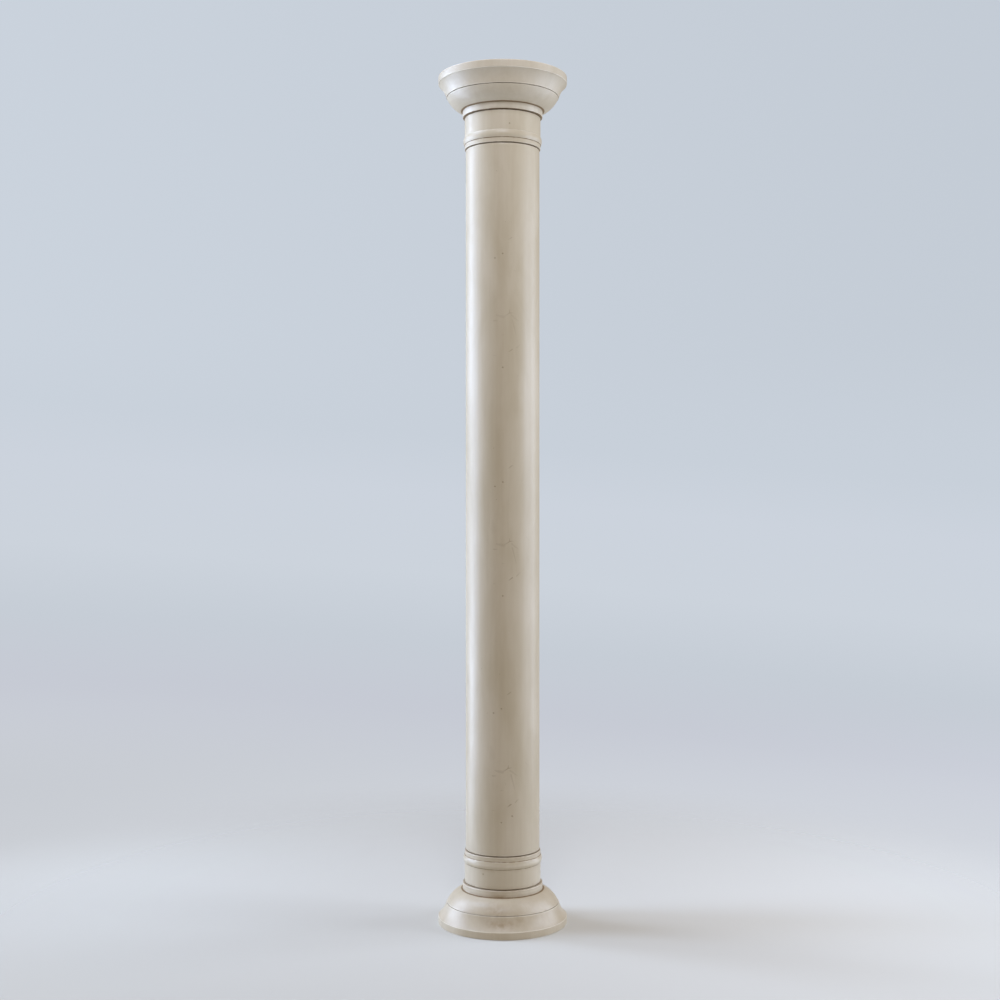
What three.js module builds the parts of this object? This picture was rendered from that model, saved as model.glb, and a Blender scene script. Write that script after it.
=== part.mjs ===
// A plain round Doric column in pale dressed limestone, storey high, without flutes or entasis.
//
// Five turned stones stand on one another: a base, a necking, the shaft, a second necking and the
// capital. The column reads the same from both ends, so the capital is the base turned upside down
// and the two neckings are a pair. Every bed is set back behind the faces, which leaves the four
// dark open joints round the column.
//
// Units are millimetres, +Z is up, and the origin is on the floor at the middle of the underside.

import * as THREE from 'three';

// How round the turned faces are. A multiple of four, so that the stones touch their true width.
const FACETS_ROUND = 56;

// Shaft
const SHAFT_RADIUS = 131;
const SHAFT_HEIGHT = 2478;

// Open joints, and the rounding of the edges beside them
const JOINT_HEIGHT = 3;
const JOINT_DEPTH = 8;
const ARRIS_RADIUS = 2;

// Necking: a plain neck, a bead and a low fillet next to the shaft
const NECK_PROUD_OF_SHAFT = 3.7;
const NECK_HEIGHT = 68.7;
const BEAD_HEIGHT = 26.6;
const BEAD_PROUD_OF_NECK = 4.6;
const BEAD_SHOULDER = 1.2;
const LOW_FILLET_HEIGHT = 15.8;

// Base and capital: fillet, ovolo, quirk, cavetto and rim, outwards from the necking
const FILLET_PROUD_OF_NECK = 7.2;
const FILLET_HEIGHT = 23.7;
const OVOLO_START_PROUD_OF_FILLET = 4.6;
const OVOLO_PROJECTION = 51;
const OVOLO_HEIGHT = 46.5;
const OVOLO_BULGE = 6.5;
const QUIRK_HEIGHT = 2;
const QUIRK_DEPTH = 4;
const CAVETTO_STEP = 2.5;
const CAVETTO_PROJECTION = 25.5;
const CAVETTO_HEIGHT = 45.7;
const CAVETTO_HOLLOW = 3.5;
const RIM_LEDGE = 3;
const RIM_HEIGHT = 26;

// How many straight steps each curved stretch of a profile is cut into
const OVOLO_STEPS = 6;
const CAVETTO_STEPS = 4;
const BEAD_STEPS = 4;
const ARRIS_STEPS = 2;

// Radii that one stone shares with the next
const NECK_RADIUS = SHAFT_RADIUS + NECK_PROUD_OF_SHAFT;
const SHAFT_BED_RADIUS = SHAFT_RADIUS - JOINT_DEPTH;
const NECK_BED_RADIUS = NECK_RADIUS - JOINT_DEPTH;

// Radii of the base and the capital
const FILLET_RADIUS = NECK_RADIUS + FILLET_PROUD_OF_NECK;
const OVOLO_LOW_RADIUS = FILLET_RADIUS + OVOLO_START_PROUD_OF_FILLET;
const OVOLO_HIGH_RADIUS = OVOLO_LOW_RADIUS + OVOLO_PROJECTION;
const CAVETTO_LOW_RADIUS = OVOLO_HIGH_RADIUS + CAVETTO_STEP;
const CAVETTO_HIGH_RADIUS = CAVETTO_LOW_RADIUS + CAVETTO_PROJECTION;
const RIM_RADIUS = CAVETTO_HIGH_RADIUS + RIM_LEDGE;

// How far the middle of a quarter circle stands off its chord, as a share of its radius
const QUARTER_CIRCLE_RISE = 1 - Math.SQRT1_2;

// Points of a circular arc after its start. A positive rise bends it to the right of its way,
// which is outwards on a profile that climbs, and a negative one hollows it.
function arc(start, end, rise, steps) {
  const chord = end.clone().sub(start);
  const length = chord.length();
  const outward = new THREE.Vector2(chord.y, -chord.x).divideScalar(length);
  const size = Math.abs(rise);
  const radius = (length * length) / (8 * size) + size / 2;
  const halfAngle = Math.asin(length / 2 / radius);
  const points = [];
  for (let step = 1; step < steps; step += 1) {
    const angle = halfAngle * ((2 * step) / steps - 1);
    const along = 0.5 + (radius * Math.sin(angle)) / length;
    const off = Math.sign(rise) * (radius * Math.cos(angle) - radius + size);
    points.push(start.clone().addScaledVector(chord, along).addScaledVector(outward, off));
  }
  points.push(end.clone());
  return points;
}

// A profile is drawn as a pen moves: line, arc and rounded-edge strokes one after another.
class Profile {
  constructor() {
    this.points = [new THREE.Vector2(0, 0)];
  }

  get last() {
    return this.points[this.points.length - 1];
  }

  lineTo(radius, height) {
    this.points.push(new THREE.Vector2(radius, height));
    return this;
  }

  arcTo(radius, height, rise, steps) {
    this.points.push(...arc(this.last, new THREE.Vector2(radius, height), rise, steps));
    return this;
  }

  // Edge of a level face that turns up into an upright one
  edgeUp(radius, height) {
    this.lineTo(radius - ARRIS_RADIUS, height);
    return this.arcTo(radius, height + ARRIS_RADIUS, ARRIS_RADIUS * QUARTER_CIRCLE_RISE, ARRIS_STEPS);
  }

  // Edge of an upright face that turns in to a level one
  edgeIn(radius, height) {
    this.lineTo(radius, height - ARRIS_RADIUS);
    return this.arcTo(radius - ARRIS_RADIUS, height, ARRIS_RADIUS * QUARTER_CIRCLE_RISE, ARRIS_STEPS);
  }

  closeAt(height) {
    return this.lineTo(0, height);
  }
}

// Base, from its underside up: rim, cavetto, quirk, ovolo, fillet, and the bed in the open joint
function baseProfile() {
  const cavettoFoot = RIM_HEIGHT + CAVETTO_HEIGHT;
  const quirkEnd = cavettoFoot + QUIRK_HEIGHT;
  const ovoloEnd = quirkEnd + OVOLO_HEIGHT;
  const filletEnd = ovoloEnd + FILLET_HEIGHT;
  const bed = filletEnd + JOINT_HEIGHT;
  const quirkRadius = OVOLO_HIGH_RADIUS - QUIRK_DEPTH;
  return new Profile()
    .edgeUp(RIM_RADIUS, 0)
    .edgeIn(RIM_RADIUS, RIM_HEIGHT)
    .lineTo(CAVETTO_HIGH_RADIUS, RIM_HEIGHT)
    .arcTo(CAVETTO_LOW_RADIUS, cavettoFoot, -CAVETTO_HOLLOW, CAVETTO_STEPS)
    .lineTo(quirkRadius, cavettoFoot)
    .lineTo(quirkRadius, quirkEnd)
    .lineTo(OVOLO_HIGH_RADIUS, quirkEnd)
    .arcTo(OVOLO_LOW_RADIUS, ovoloEnd, OVOLO_BULGE, OVOLO_STEPS)
    .lineTo(FILLET_RADIUS, ovoloEnd)
    .edgeIn(FILLET_RADIUS, filletEnd)
    .lineTo(NECK_BED_RADIUS, filletEnd)
    .lineTo(NECK_BED_RADIUS, bed)
    .closeAt(bed).points;
}

// Lower necking, from its bed on the base up: neck, bead, low fillet, and the bed under the shaft
function neckingProfile() {
  const beadFoot = NECK_HEIGHT;
  const beadEnd = beadFoot + BEAD_HEIGHT;
  const filletEnd = beadEnd + LOW_FILLET_HEIGHT;
  const bed = filletEnd + JOINT_HEIGHT;
  const shoulderRadius = NECK_RADIUS + BEAD_SHOULDER;
  const beadRise = BEAD_PROUD_OF_NECK - BEAD_SHOULDER;
  return new Profile()
    .edgeUp(NECK_RADIUS, 0)
    .lineTo(NECK_RADIUS, beadFoot)
    .lineTo(shoulderRadius, beadFoot)
    .arcTo(shoulderRadius, beadEnd, beadRise, BEAD_STEPS)
    .lineTo(NECK_RADIUS, beadEnd)
    .edgeIn(NECK_RADIUS, filletEnd)
    .lineTo(SHAFT_BED_RADIUS, filletEnd)
    .lineTo(SHAFT_BED_RADIUS, bed)
    .closeAt(bed).points;
}

function shaftProfile() {
  return new Profile()
    .edgeUp(SHAFT_RADIUS, 0)
    .edgeIn(SHAFT_RADIUS, SHAFT_HEIGHT)
    .closeAt(SHAFT_HEIGHT).points;
}

// The same stone turned upside down, still standing on zero
function upended(points) {
  const top = points[points.length - 1].y;
  return points.map((point) => new THREE.Vector2(point.x, top - point.y)).reverse();
}

function limestone(colour) {
  return new THREE.MeshStandardMaterial({ color: colour, roughness: 0.55, metalness: 0 });
}

// One stone, turned about the column's axis, with its underside at its own zero
function turnedStone(name, points, colour) {
  const geometry = new THREE.LatheGeometry(points, FACETS_ROUND).rotateX(Math.PI / 2);
  const stone = new THREE.Mesh(geometry, limestone(colour));
  stone.name = name;
  return stone;
}

// Sets each stone on the top of the one below it
function stacked(stones) {
  const column = new THREE.Group();
  let bedLevel = 0;
  for (const stone of stones) {
    stone.position.z = bedLevel;
    stone.geometry.computeBoundingBox();
    bedLevel += stone.geometry.boundingBox.max.z;
    column.add(stone);
  }
  return column;
}

const column = stacked([
  turnedStone('base', baseProfile(), 0xb8ad9a),
  turnedStone('lower_necking', neckingProfile(), 0xbdb3a2),
  turnedStone('shaft', shaftProfile(), 0xc2b8a6),
  turnedStone('upper_necking', upended(neckingProfile()), 0xc4bbab),
  turnedStone('capital', upended(baseProfile()), 0xc6bdac),
]);

export default column;
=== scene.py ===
"""A plain round Doric column of five turned limestone stones, on a pale studio floor.

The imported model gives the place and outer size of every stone. Here each stone is turned again with a
true round face, rubbed edges, open joints and real pits, and is dressed in limestone of its own. Sizes
are metres and heights are above the floor. A bearing is an angle in degrees round the column, from the
side that the camera faces towards the right.
"""
import logging
import math
import random
from dataclasses import dataclass, field
from enum import Enum
from functools import cached_property
from typing import Any, Optional, Union

import bmesh
import bpy
import numpy as np
from mathutils import Matrix, Vector, noise


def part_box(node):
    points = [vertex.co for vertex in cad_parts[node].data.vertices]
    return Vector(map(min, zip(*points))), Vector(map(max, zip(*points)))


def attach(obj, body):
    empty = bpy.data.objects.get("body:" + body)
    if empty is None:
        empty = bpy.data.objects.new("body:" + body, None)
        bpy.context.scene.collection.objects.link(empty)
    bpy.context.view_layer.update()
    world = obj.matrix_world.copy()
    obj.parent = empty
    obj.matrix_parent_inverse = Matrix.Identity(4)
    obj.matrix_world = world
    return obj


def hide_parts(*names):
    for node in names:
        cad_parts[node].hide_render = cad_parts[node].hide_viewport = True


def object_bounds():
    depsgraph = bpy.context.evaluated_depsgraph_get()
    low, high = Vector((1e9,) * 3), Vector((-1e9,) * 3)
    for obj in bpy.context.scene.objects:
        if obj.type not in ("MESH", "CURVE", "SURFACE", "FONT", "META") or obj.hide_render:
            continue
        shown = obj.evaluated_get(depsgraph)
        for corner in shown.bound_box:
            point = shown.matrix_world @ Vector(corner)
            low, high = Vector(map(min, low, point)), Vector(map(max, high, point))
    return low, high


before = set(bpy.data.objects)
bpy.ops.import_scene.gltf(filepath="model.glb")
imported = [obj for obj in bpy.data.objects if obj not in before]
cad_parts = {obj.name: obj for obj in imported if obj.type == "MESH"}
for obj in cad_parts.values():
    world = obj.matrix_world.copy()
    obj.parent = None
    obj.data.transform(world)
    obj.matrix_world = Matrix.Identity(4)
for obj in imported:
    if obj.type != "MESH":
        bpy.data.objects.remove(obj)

BODY = "root"
SAME_PLACE = 1e-6
MOST_CUTS = 12
STEEP = 0.7
MIX_SOCKETS = {"FLOAT": (2, 3, 0), "VECTOR": (4, 5, 1), "RGBA": (6, 7, 2)}

LEFT_LIGHT = (0.552, 0.702, 1.0)
BACK_LIGHT = (0.63, 0.755, 1.0)
RIGHT_LIGHT = (0.697, 0.803, 1.0)
FRONT_LIGHT = (0.798, 0.864, 1.0)

Point = tuple[float, float]
Triple = tuple[float, float, float]
Feed = Union[float, Triple, bpy.types.NodeSocket]
Feeds = dict[Union[int, str], Feed]
Ramp = tuple[float, ...]

log = logging.getLogger("column")
CAD_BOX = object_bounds()


@dataclass(frozen=True)
class Bevel:
    """The rounding of a corner: its radius, and the steps round it."""

    radius: float
    steps: int


class Corner(Enum):
    """How a corner of a stone's outline is finished: outer edges rubbed round, inner ones nearly sharp."""

    ARRIS = Bevel(0.0018, 4)
    FINE = Bevel(0.0005, 2)
    HOLLOW = Bevel(0.0004, 2)


OUTER_EDGES = (Corner.ARRIS, Corner.FINE)


@dataclass(frozen=True)
class Gathering:
    """How strongly dirt gathers on a stroke of an outline, how far it reaches out, and how it stains."""

    strength: float
    reach: float
    stain: float


class Soil(Enum):
    """Where dirt gathers: in joints and quirks, on the ledges between mouldings, or in a cavetto."""

    JOINT = Gathering(0.5, 0.0010, 0.8)
    QUIRK = Gathering(0.32, 0.0008, 0.35)
    CREASE = Gathering(0.75, 0.0011, 0.6)
    FILLET_CREASE = Gathering(1.0, 0.0013, 0.6)
    CLEAN_LEDGE = Gathering(0.42, 0.0012, 0.0)
    CAVETTO = Gathering(0.0, 0.001, 0.35)


class Mark(Enum):
    """What a mesh records at each of its points for the finish to read."""

    DIRT = "dirt"
    # Brown stain, and on the front of the base also painted shade.
    STAIN_AND_SHADE = "stain"
    # Outer edges painted paler, partly wear and partly painted highlight, and mouldings painted paler as
    # painted light.
    EDGE = "edge"
    PIT = "pit"


@dataclass
class Outline:
    """The outline of a turned stone, from the middle of its lower face round to its upper one."""

    points: list[Point] = field(default_factory=lambda: [(0.0, 0.0)])
    corners: dict[Point, Corner] = field(default_factory=dict)
    soiled: list[tuple[Soil, Point, Point]] = field(default_factory=list)

    def line(self, radius: float, height: float, corner: Optional[Corner] = None,
             soil: Optional[Soil] = None) -> "Outline":
        """Draws a straight stroke.

        Args:
            radius: radius of the stroke's end.
            height: height of the stroke's end.
            corner: how the corner at the end is finished, or None for no corner.
            soil: the dirt that lies along the stroke, or None for a clean one.

        Returns:
            The outline, so that strokes can follow on.
        """
        if soil is not None:
            self.soiled.append((soil, self.points[-1], (radius, height)))
        self.points.append((radius, height))
        if corner is not None:
            self.corners[(radius, height)] = corner
        return self

    def arc(self, radius: float, height: float, rise: float, steps: int,
            corner: Optional[Corner] = None, soil: Optional[Soil] = None) -> "Outline":
        """Draws a circular stroke that bulges outwards by rise, or is hollowed by a negative one.

        Args:
            radius: radius of the stroke's end.
            height: height of the stroke's end.
            rise: how far the middle of the stroke stands off its chord.
            steps: straight steps along the stroke.
            corner: how the corner at the end is finished, or None for no corner.
            soil: the dirt that lies along the stroke, or None for a clean one.

        Returns:
            The outline, so that strokes can follow on.
        """
        start, end = Vector(self.points[-1]), Vector((radius, height))
        if soil is not None:
            self.soiled.append((soil, self.points[-1], (radius, height)))
        chord = end - start
        outward = Vector((chord.y, -chord.x)).normalized()
        size = abs(rise)
        bend = chord.length_squared / (8 * size) + size / 2
        half_angle = math.asin(chord.length / 2 / bend)
        for step in range(1, steps):
            angle = half_angle * (2 * step / steps - 1)
            along = 0.5 + bend * math.sin(angle) / chord.length
            off = math.copysign(bend * math.cos(angle) - bend + size, rise)
            point = start + chord * along + outward * off
            self.points.append((point.x, point.y))
        return self.line(radius, height, corner)

    def rings(self, *kinds: Corner) -> list[Point]:
        """Gives the corners of some kinds, each as a radius and a height."""
        return [point for point, kind in self.corners.items() if kind in kinds]


@dataclass(frozen=True)
class Pit:
    """A small natural hole in the upright face of a stone."""

    bearing: float
    height: float
    width: float = 0.0056
    depth: float = 0.0022

    def spot(self, radius: float) -> Vector:
        """Gives the pit's place on a round face of some radius."""
        turn = math.radians(self.bearing)
        return Vector((radius * math.sin(turn), -radius * math.cos(turn), self.height))


@dataclass(frozen=True)
class StainAndShade:
    """A soft brown patch on the front of a stone, partly a stain and partly painted shade where little
    light reaches the front, in degrees round it and metres above the floor.
    """

    bearing: float
    height: float
    wide: float
    tall: float
    strength: float

    def cover(self, places: np.ndarray) -> np.ndarray:
        """Gives how strongly the patch darkens each place.

        Args:
            places: the places, a row for each.

        Returns:
            How strongly each place is darkened.
        """
        turn = np.degrees(np.arctan2(places[:, 0], -places[:, 1])) - self.bearing
        aside = ((turn + 180) % 360 - 180) / self.wide
        above = (places[:, 2] - self.height) / self.tall
        return self.strength * np.exp(-(aside ** 2) - above ** 2)


@dataclass(frozen=True)
class PaintedLightBand:
    """A moulding painted paler all round, as painted light and painted highlight, in metres above the
    floor.
    """

    height: float
    tall: float
    strength: float

    def painted_light(self, heights: np.ndarray) -> np.ndarray:
        """Gives how strongly the moulding is painted paler at each height."""
        return self.strength * np.exp(-(((heights - self.height) / self.tall) ** 2))


@dataclass(frozen=True)
class Weather:
    """How far dirt stains the stone, and how far, deeply and unevenly outer edges are rubbed."""

    stain_reach: float = 0.009
    edge_reach: float = 0.0022
    rub_limit: float = 0.0044
    rub_depth: float = 0.0004
    rub_scale: float = 24.0


@dataclass(frozen=True)
class Sizes:
    """Sizes that one stone shares with the next."""

    neck_proud_of_shaft: float = 0.0037
    joint_height: float = 0.003
    joint_depth: float = 0.008

    @property
    def shaft(self) -> float:
        """Radius of the shaft, as the imported model has it."""
        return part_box("shaft")[1].x

    @property
    def neck(self) -> float:
        """Radius of the plain necks."""
        return self.shaft + self.neck_proud_of_shaft

    @property
    def shaft_bed(self) -> float:
        """Radius of the set-back beds that carry the shaft."""
        return self.shaft - self.joint_depth

    @property
    def neck_bed(self) -> float:
        """Radius of the set-back beds between a necking and an end stone."""
        return self.neck - self.joint_depth


@dataclass
class TurnedStone:
    """One stone of the column: its outline is turned on the axis, softened, rubbed and dressed."""

    node: str
    upside_down: bool = False
    facets: int = 256
    ring_spacing: float = 0.003
    sizes: Sizes = field(default_factory=Sizes)
    weather: Weather = field(default_factory=Weather)
    pits: tuple[Pit, ...] = ()
    pit_refining: tuple[tuple[float, int], ...] = ((0.0065, 3), (0.002, 3))
    pit_step: float = 0.0012
    pit_stain: float = 1.3
    stains_and_shade: tuple[StainAndShade, ...] = ()
    painted_light_bands: tuple[PaintedLightBand, ...] = ()
    stain_share: float = 0.2
    dirt_share: float = 1.0
    sharp_angle: float = math.radians(38)

    def outline(self) -> Outline:
        """Gives the stone's outline, standing on zero. Each kind of stone draws its own."""
        raise NotImplementedError

    def pitted_radius(self) -> float:
        """Gives the radius of the plain upright face that holds the stone's pits."""
        return self.sizes.neck

    def turned(self, outline: Outline) -> bmesh.types.BMesh:
        """Spins an outline round the column's axis into a closed skin.

        Args:
            outline: the outline to spin.

        Returns:
            The skin, with merged poles and its faces outwards.
        """
        bm = bmesh.new()
        ends = [bm.verts.new((radius, 0, height)) for radius, height in outline.points]
        strokes = [bm.edges.new(pair) for pair in zip(ends, ends[1:])]
        bmesh.ops.spin(bm, geom=ends + strokes, cent=(0, 0, 0), axis=(0, 0, 1), dvec=(0, 0, 0),
                       angle=2 * math.pi, steps=self.facets, use_merge=True)
        bmesh.ops.remove_doubles(bm, verts=bm.verts, dist=SAME_PLACE)
        bmesh.ops.recalc_face_normals(bm, faces=bm.faces)
        return bm

    def soften(self, bm: bmesh.types.BMesh, outline: Outline) -> None:
        """Rounds every corner that the outline names, all the way round the stone.

        Args:
            bm: the stone's skin.
            outline: the outline that it was spun from.
        """
        for corner in Corner:
            rings = outline.rings(corner)
            edges = [edge for edge in bm.edges if any(on_ring(edge, ring) for ring in rings)]
            if edges:
                bmesh.ops.bevel(bm, geom=edges, offset=corner.value.radius, offset_type="OFFSET",
                                segments=corner.value.steps, profile=0.5, affect="EDGES",
                                clamp_overlap=True, material=-1)

    def slice_rings(self, bm: bmesh.types.BMesh) -> None:
        """Cuts long upright strips into rings, so that marks and wear have points to sit on.

        Args:
            bm: the stone's skin.
        """
        while True:
            long_edges: dict[int, list[bmesh.types.BMEdge]] = {}
            for edge in bm.edges:
                length = edge.calc_length()
                cuts = min(MOST_CUTS, math.ceil(length / self.ring_spacing) - 1)
                if cuts > 0 and is_upright(edge):
                    long_edges.setdefault(cuts, []).append(edge)
            if not long_edges:
                return
            cuts, edges = long_edges.popitem()
            bmesh.ops.subdivide_edges(bm, edges=edges, cuts=cuts, use_grid_fill=True)

    def place(self, bm: bmesh.types.BMesh) -> None:
        """Turns the stone over if it hangs upside down, and stands it where its node is.

        Args:
            bm: the stone's skin.
        """
        if self.upside_down:
            bmesh.ops.rotate(bm, verts=bm.verts, cent=(0, 0, 0), matrix=Matrix.Rotation(math.pi, 3, "X"))
        low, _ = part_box(self.node)
        lowest = min(vert.co.z for vert in bm.verts)
        bmesh.ops.translate(bm, verts=bm.verts, vec=(0, 0, low.z - lowest))

    def placed(self, rings: list[Point]) -> np.ndarray:
        """Gives the rings of an outline where they are on the placed stone.

        Args:
            rings: rings as radius and height on the outline.

        Returns:
            Radius and height above the floor, a row for each ring.
        """
        low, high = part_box(self.node)
        placed = np.array(rings, float).reshape(-1, 2)
        placed[:, 1] = high.z - placed[:, 1] if self.upside_down else low.z + placed[:, 1]
        return placed

    def rub(self, bm: bmesh.types.BMesh, arrises: np.ndarray) -> None:
        """Rubs the outer edges a little unevenly, but never the faces that the column bears on.

        Args:
            bm: the placed stone.
            arrises: its outer edges as radius and height.
        """
        rule = self.weather
        low, high = CAD_BOX
        for vert in bm.verts:
            if min(vert.co.z - low.z, high.z - vert.co.z) < SAME_PLACE:
                continue
            radius = math.hypot(vert.co.x, vert.co.y)
            gap = np.hypot(arrises[:, 0] - radius, arrises[:, 1] - vert.co.z).min()
            if gap < rule.rub_limit:
                unevenness = (1 + noise.noise(vert.co * rule.rub_scale)) / 2
                vert.co -= vert.normal * falloff(gap, rule.edge_reach) * rule.rub_depth * unevenness

    def sink_pits(self, bm: bmesh.types.BMesh) -> None:
        """Refines the face round every pit, and then sinks each pit as a small smooth bowl.

        Args:
            bm: the placed stone.
        """
        spots = [pit.spot(self.pitted_radius()) for pit in self.pits]
        for margin, cuts in self.pit_refining:
            near = [face for face in bm.faces if any(
                (face.calc_center_median() - spot).length < pit.width / 2 + margin
                for spot, pit in zip(spots, self.pits))]
            edges = {edge for face in near for edge in face.edges if edge.calc_length() > self.pit_step}
            bmesh.ops.subdivide_edges(bm, edges=list(edges), cuts=cuts, use_grid_fill=True)
        for vert in bm.verts:
            for spot, pit in zip(spots, self.pits):
                reach = (vert.co - spot).length / (pit.width / 2)
                if reach < 1:
                    inward = Vector((-vert.co.x, -vert.co.y, 0)).normalized()
                    vert.co += inward * pit.depth * (1 - reach ** 2) ** 2

    def record_marks(self, mesh: bpy.types.Mesh, outline: Outline) -> None:
        """Writes where dirt, stain with painted shade, edges paler from wear and painted highlight,
        mouldings painted paler, and pits are, for the finish to read.

        Args:
            mesh: the finished mesh.
            outline: the outline that it was spun from.
        """
        flat = np.empty(len(mesh.vertices) * 3)
        mesh.vertices.foreach_get("co", flat)
        places = flat.reshape(-1, 3)
        rings = np.column_stack((np.hypot(places[:, 0], places[:, 1]), places[:, 2]))
        dirt = np.zeros(len(places))
        stain = np.zeros(len(places))
        for soil, start, end in outline.soiled:
            rule = soil.value
            gap = stroke_gap(rings, *self.placed([start, end]))
            dirt = np.maximum(dirt, rule.strength * self.dirt_share * falloff(gap, rule.reach))
            share = rule.stain * self.stain_share
            stain = np.maximum(stain, share * falloff(gap, self.weather.stain_reach))
        # Brown patches on the front of the base: partly stain, partly painted shade.
        for darkening in self.stains_and_shade:
            stain = np.maximum(stain, darkening.cover(places))
        pitted = np.zeros(len(places))
        for pit in self.pits:
            gap = np.linalg.norm(places - np.array(pit.spot(self.pitted_radius())), axis=1)
            pitted = np.maximum(pitted, np.clip(self.pit_stain - gap / (pit.width / 2), 0, 1))
        # Outer edges are painted paler: partly wear, partly painted highlight where they catch light.
        edge = falloff(ring_gap(rings, self.placed(outline.rings(*OUTER_EDGES))), self.weather.edge_reach)
        # Some mouldings are painted paler all round: painted light and painted highlight.
        for rub in self.painted_light_bands:
            edge = np.maximum(edge, rub.painted_light(places[:, 2]))
        marks = {Mark.DIRT: dirt, Mark.STAIN_AND_SHADE: stain, Mark.EDGE: edge, Mark.PIT: pitted}
        for mark, values in marks.items():
            layer = mesh.attributes.new(mark.value, "FLOAT", "POINT")
            layer.data.foreach_set("value", values.astype(np.float32))

    def build(self, finish: bpy.types.Material) -> bpy.types.Object:
        """Makes the stone, gives it its finish, and lets it stand for its node.

        Args:
            finish: the stone's material.

        Returns:
            The new object, riding on the column's body.
        """
        outline = self.outline()
        bm = self.turned(outline)
        self.soften(bm, outline)
        self.slice_rings(bm)
        self.place(bm)
        bm.normal_update()
        self.rub(bm, self.placed(outline.rings(*OUTER_EDGES)))
        self.sink_pits(bm)
        bmesh.ops.recalc_face_normals(bm, faces=bm.faces)
        for face in bm.faces:
            face.smooth = True
        for edge in bm.edges:
            edge.smooth = edge.calc_face_angle(0) < self.sharp_angle
        mesh = bpy.data.meshes.new(f"{self.node}_stone")
        bm.to_mesh(mesh)
        bm.free()
        self.record_marks(mesh, outline)
        mesh.materials.append(finish)
        stone = bpy.data.objects.new(mesh.name, mesh)
        bpy.context.scene.collection.objects.link(stone)
        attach(stone, BODY)
        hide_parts(self.node)
        triangles = sum(len(polygon.vertices) - 2 for polygon in mesh.polygons)
        log.info("%s: %d triangles, %d pits", stone.name, triangles, len(self.pits))
        return stone


@dataclass
class EndStone(TurnedStone):
    """The base, or the capital turned over: rim, cavetto, quirk, ovolo and fillet, outwards in."""

    facets: int = 320
    fillet_proud_of_neck: float = 0.0072
    fillet_height: float = 0.0237
    ovolo_start: float = 0.0046
    ovolo_projection: float = 0.051
    ovolo_height: float = 0.0465
    ovolo_bulge: float = 0.0065
    quirk_height: float = 0.002
    quirk_depth: float = 0.004
    cavetto_step: float = 0.0025
    cavetto_projection: float = 0.0255
    cavetto_height: float = 0.0457
    cavetto_hollow: float = 0.0035
    rim_height: float = 0.026
    arc_steps: int = 20
    hollow_soil: Optional[Soil] = None

    def outline(self) -> Outline:
        """Draws the stone from its outer bearing face up to the bed under the necking.

        Returns:
            The outline, standing on zero.
        """
        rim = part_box(self.node)[1].x
        fillet = self.sizes.neck + self.fillet_proud_of_neck
        ovolo_low = fillet + self.ovolo_start
        ovolo_high = ovolo_low + self.ovolo_projection
        cavetto_low = ovolo_high + self.cavetto_step
        cavetto_end = self.rim_height + self.cavetto_height
        quirk = ovolo_high - self.quirk_depth
        quirk_end = cavetto_end + self.quirk_height
        ovolo_end = quirk_end + self.ovolo_height
        fillet_end = ovolo_end + self.fillet_height
        bed = self.sizes.neck_bed
        bed_end = fillet_end + self.sizes.joint_height
        return (Outline()
                .line(rim, 0, Corner.ARRIS)
                .line(rim, self.rim_height, Corner.ARRIS)
                .line(cavetto_low + self.cavetto_projection, self.rim_height, Corner.HOLLOW)
                .arc(cavetto_low, cavetto_end, -self.cavetto_hollow, self.arc_steps, Corner.FINE,
                     self.hollow_soil)
                .line(quirk, cavetto_end, Corner.HOLLOW, Soil.QUIRK)
                .line(quirk, quirk_end, Corner.HOLLOW, Soil.QUIRK)
                .line(ovolo_high, quirk_end, Corner.FINE, Soil.QUIRK)
                .arc(ovolo_low, ovolo_end, self.ovolo_bulge, self.arc_steps)
                .line(fillet, ovolo_end, Corner.HOLLOW, Soil.FILLET_CREASE)
                .line(fillet, fillet_end, Corner.ARRIS)
                .line(bed, fillet_end, Corner.HOLLOW, Soil.JOINT)
                .line(bed, bed_end, soil=Soil.JOINT)
                .line(0, bed_end))


@dataclass
class Necking(TurnedStone):
    """A necking: a plain neck, a bead, a low fillet, and the set-back bed next to the shaft."""

    neck_height: float = 0.0687
    bead_height: float = 0.0266
    bead_proud_of_neck: float = 0.0046
    bead_shoulder: float = 0.0012
    fillet_height: float = 0.0158
    bead_steps: int = 12
    neck_crease: Soil = Soil.CREASE

    def outline(self) -> Outline:
        """Draws the necking from its bed on the end stone up to the bed under the shaft.

        Returns:
            The outline, standing on zero.
        """
        neck = self.sizes.neck
        shoulder = neck + self.bead_shoulder
        bead_rise = self.bead_proud_of_neck - self.bead_shoulder
        bead_end = self.neck_height + self.bead_height
        fillet_end = bead_end + self.fillet_height
        bed_end = fillet_end + self.sizes.joint_height
        return (Outline()
                .line(self.sizes.neck_bed, 0)
                .line(neck, 0, Corner.ARRIS, Soil.JOINT)
                .line(neck, self.neck_height, Corner.HOLLOW)
                .line(shoulder, self.neck_height, Corner.FINE, self.neck_crease)
                .arc(shoulder, bead_end, bead_rise, self.bead_steps, Corner.FINE)
                .line(neck, bead_end, Corner.HOLLOW, Soil.CREASE)
                .line(neck, fillet_end, Corner.ARRIS)
                .line(self.sizes.shaft_bed, fillet_end, Corner.HOLLOW, Soil.JOINT)
                .line(self.sizes.shaft_bed, bed_end, soil=Soil.JOINT)
                .line(0, bed_end))


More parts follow.
